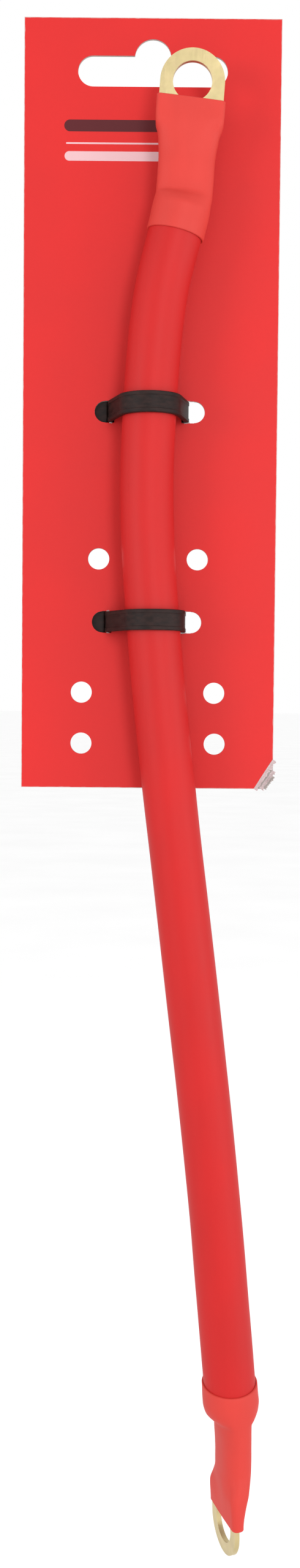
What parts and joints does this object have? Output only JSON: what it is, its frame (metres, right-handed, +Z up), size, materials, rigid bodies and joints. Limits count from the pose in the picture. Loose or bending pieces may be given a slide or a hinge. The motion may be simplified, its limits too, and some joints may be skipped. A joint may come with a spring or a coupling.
{
  "type": "battery lead on a hanging card",
  "caption": "Red battery lead with an eye terminal and sleeve at each end, held by cable ties to a red hanging retail card with a euro slot.",
  "frame": {"origin": "centre of the hang slot's round top lobe, at half the card's thickness", "axes": "+Z up along the hanging card, +X to the right of its printed face, which looks along -Y"},
  "size_m": [0.055, 0.0203, 0.3327],
  "materials": {
    "printed_liner": "printed, satin",
    "board_core": "fibrous",
    "plain_liner": "uncoated",
    "jacket_pvc": "satin",
    "sleeve_pvc": "satin",
    "copper": "drawn",
    "brass": "pressed, lightly passivated",
    "black_nylon": "moulded, satin"
  },
  "bodies": {
    "root": {"card_front_liner": "printed_liner", "card_core": "board_core", "card_back_liner": "plain_liner", "cable_jacket": "jacket_pvc", "strand_01": "copper", "strand_02": "copper", "strand_03": "copper", "strand_04": "copper", "strand_05": "copper", "strand_06": "copper", "strand_07": "copper", "strand_08": "copper", "strand_09": "copper", "strand_10": "copper", "strand_11": "copper", "strand_12": "copper", "strand_13": "copper", "strand_14": "copper", "strand_15": "copper", "strand_16": "copper", "strand_17": "copper", "strand_18": "copper", "strand_19": "copper", "strand_20": "copper", "strand_21": "copper", "strand_22": "copper", "strand_23": "copper", "strand_24": "copper", "strand_25": "copper", "strand_26": "copper", "strand_27": "copper", "strand_28": "copper", "strand_29": "copper", "strand_30": "copper", "strand_31": "copper", "strand_32": "copper", "strand_33": "copper", "strand_34": "copper", "strand_35": "copper", "strand_36": "copper", "strand_37": "copper", "conductor_end_upper": "copper", "terminal_upper": "brass", "sleeve_upper": "sleeve_pvc", "conductor_end_lower": "copper", "terminal_lower": "brass", "sleeve_lower": "sleeve_pvc", "cable_tie_upper": "black_nylon", "cable_tie_lower": "black_nylon"}
  },
  "joints": []
}
